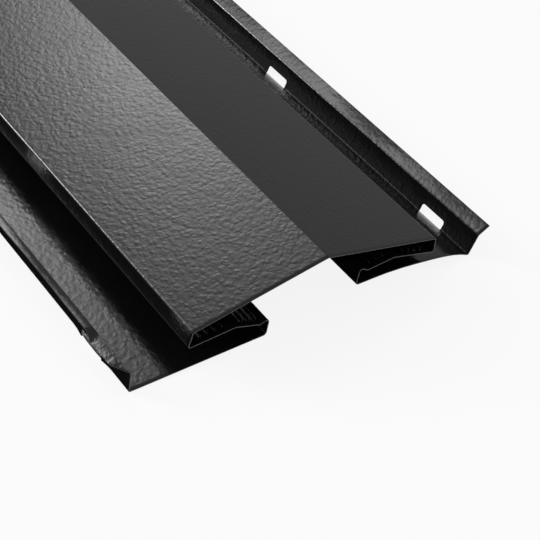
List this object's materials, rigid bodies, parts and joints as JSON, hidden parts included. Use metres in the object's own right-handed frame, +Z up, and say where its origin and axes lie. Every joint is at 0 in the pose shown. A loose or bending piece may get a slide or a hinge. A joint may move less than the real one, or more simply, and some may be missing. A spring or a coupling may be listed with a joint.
{
  "type": "ridge vent",
  "caption": "Length of rolled sheet-metal ridge vent: a peaked cap over two louvred strips, on flanges that end in upturned baffles with weep slots. It lets attic air out along a roof ridge.",
  "frame": {"origin": "under the middle of the length, midway across, on the level that the two outer folds rest on", "axes": "+X across the ridge, +Y along it, +Z up"},
  "size_m": [0.245, 3.048, 0.0426],
  "materials": {
    "black_paint": "semi-gloss black over stucco-embossed sheet"
  },
  "bodies": {
    "root": {"ridge_vent": "black_paint"}
  },
  "joints": []
}
